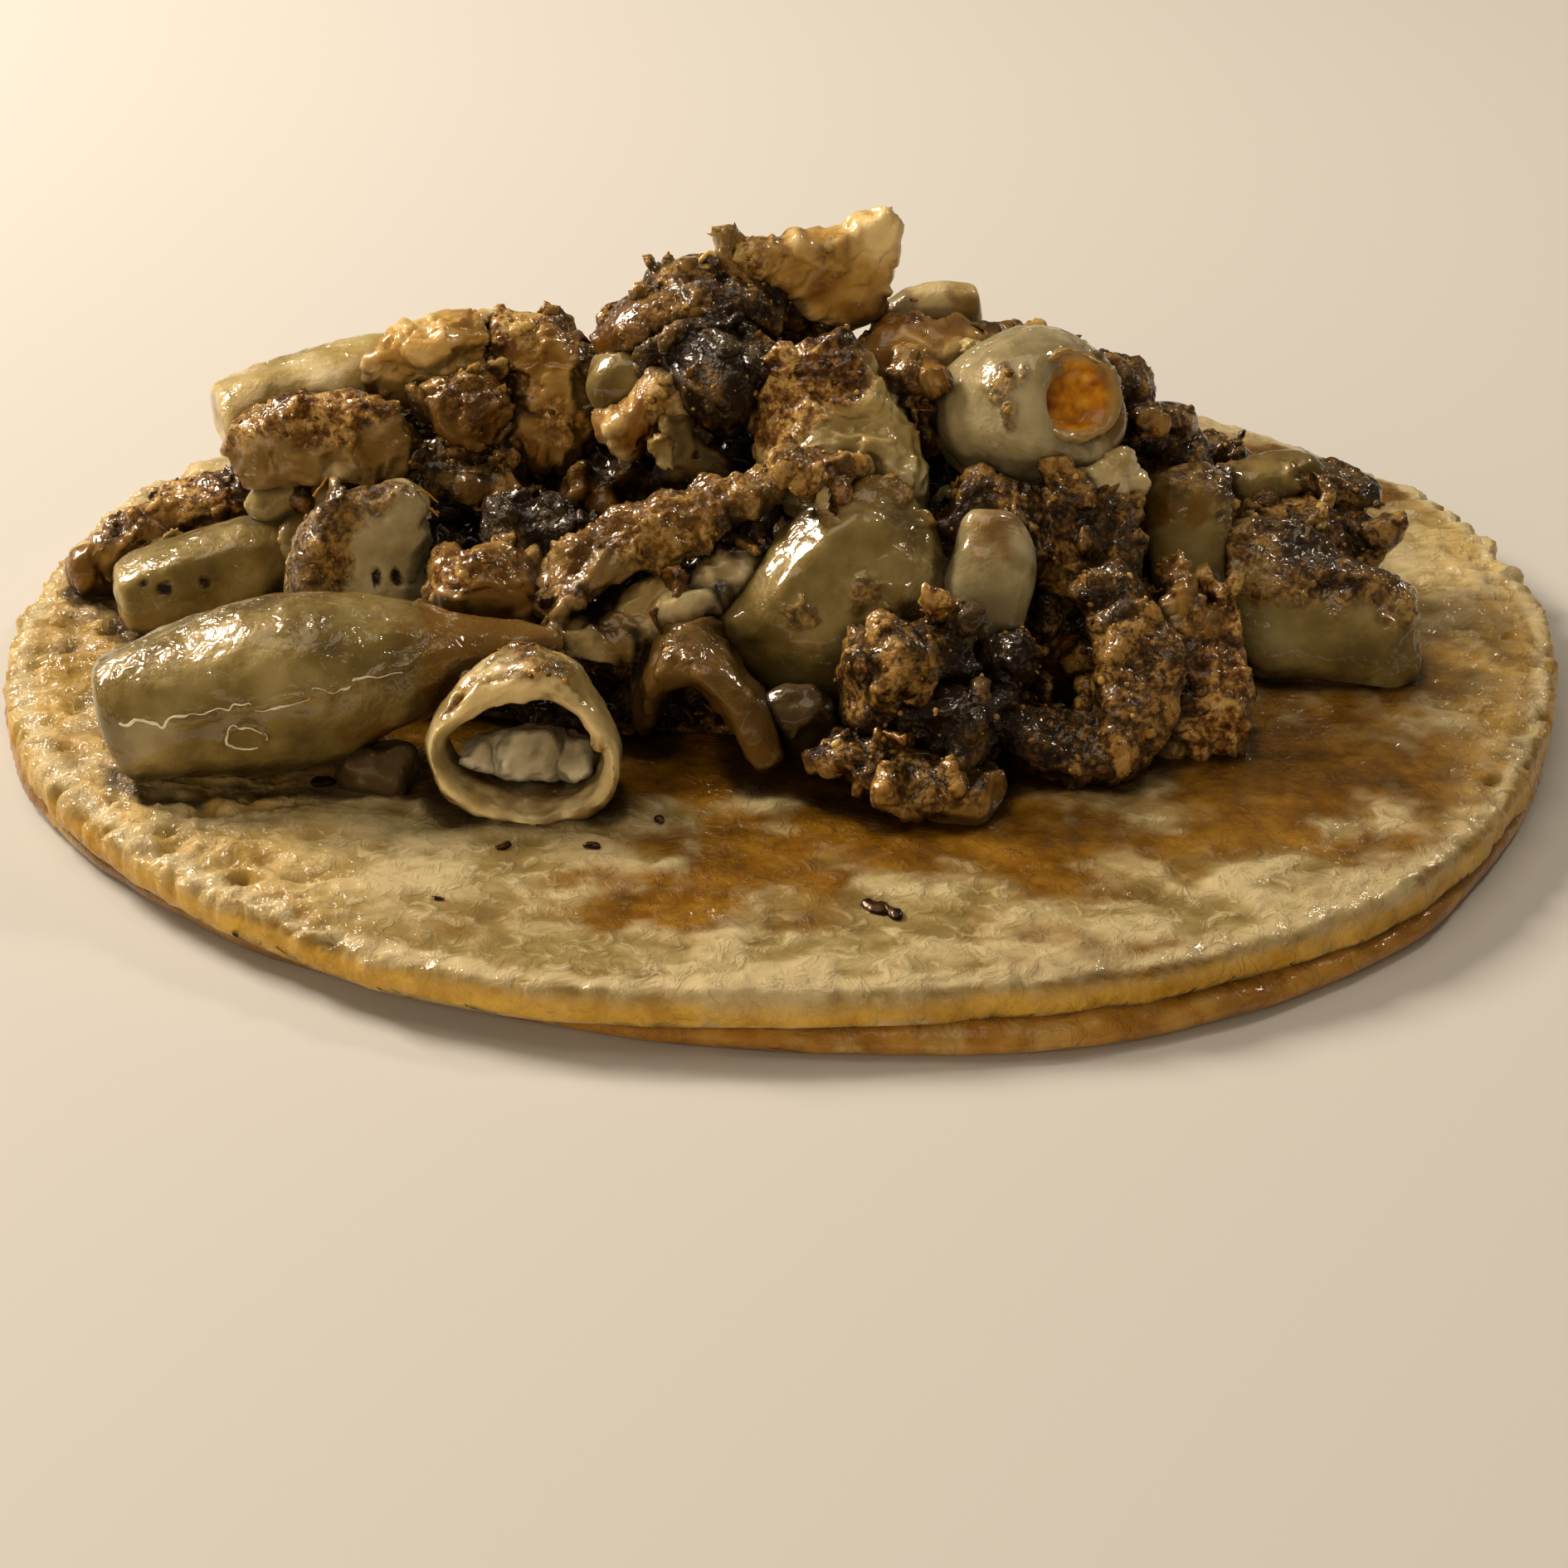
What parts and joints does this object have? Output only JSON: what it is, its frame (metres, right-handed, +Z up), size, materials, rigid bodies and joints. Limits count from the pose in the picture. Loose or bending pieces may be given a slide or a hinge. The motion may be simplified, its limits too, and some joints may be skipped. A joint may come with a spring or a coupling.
{
  "type": "tripe taco",
  "caption": "Open street taco: a heap of griddled beef tripe pieces on two stacked corn tortillas.",
  "frame": {"origin": "centre of the lower tortilla's flat underside", "axes": "+Z up, out of the heap; +X to the right of a person facing the front edge; +Y to the back"},
  "size_m": [0.1266, 0.1205, 0.0377],
  "materials": {
    "corn_upper": "soft, oily corn tortilla, pale leathery patches with amber oil-soaked ones",
    "corn_lower": "corn tortilla toasted and soaked darker, orange-brown",
    "tripe_skin": "smooth cooked tripe, pale olive to tan, wet with fat",
    "tripe_crust": "crisp browned crust, granular, orange-brown to near black",
    "tripe_fat": "pale yellow fat, soft and knobbly",
    "heap_core": "dark browned scraps in shade"
  },
  "bodies": {
    "root": {"tortilla_upper": "corn_upper", "tortilla_lower": "corn_lower", "ring_front": "tripe_skin", "ring_crumbs": "tripe_fat", "tube_long": "tripe_skin", "fat_bit": "tripe_fat", "arch_front": "tripe_skin", "jelly_bit": "tripe_skin", "lobe_centre": "tripe_skin", "crust_front_strip": "tripe_crust", "crust_front_knob": "tripe_crust", "crust_front_chunk": "tripe_crust", "curl_dark": "tripe_crust", "fin_right": "tripe_crust", "lobe_small": "tripe_skin", "chunk_pitted": "tripe_crust", "block_left": "tripe_skin", "knob_cluster": "tripe_fat", "strip_left": "tripe_crust", "fold_left": "tripe_crust", "tube_cut_left": "tripe_skin", "fold_top_left": "tripe_crust", "crust_left_knob": "tripe_crust", "crust_left_top": "tripe_crust", "scrap_left": "tripe_crust", "peak_flap": "tripe_crust", "slab_top": "tripe_crust", "wedge_centre": "tripe_skin", "crumb_orange": "tripe_crust", "char_lump": "tripe_crust", "olive_lobe": "tripe_skin", "orange_knob": "tripe_crust", "grey_flap": "tripe_skin", "curl_long": "tripe_crust", "scrap_amber": "tripe_crust", "scrap_brown": "tripe_crust", "tube_right": "tripe_skin", "shred_centre": "tripe_crust", "rim_rag": "tripe_skin", "crust_sheet": "tripe_crust", "block_right": "tripe_crust", "slab_right": "tripe_crust", "roll_right": "tripe_crust", "roll_under": "tripe_crust", "crumb_dark": "tripe_crust", "knobs_right": "tripe_crust", "sliver_back": "tripe_skin", "knob_back": "tripe_crust", "ridge_back": "tripe_crust", "tube_far_left": "tripe_skin", "crust_far_left": "tripe_crust", "lobe_far": "tripe_skin", "crust_far": "tripe_crust", "chunk_far": "tripe_crust", "tube_far_right": "tripe_skin", "crust_far_right": "tripe_crust", "heap_core": "heap_core"}
  },
  "joints": []
}
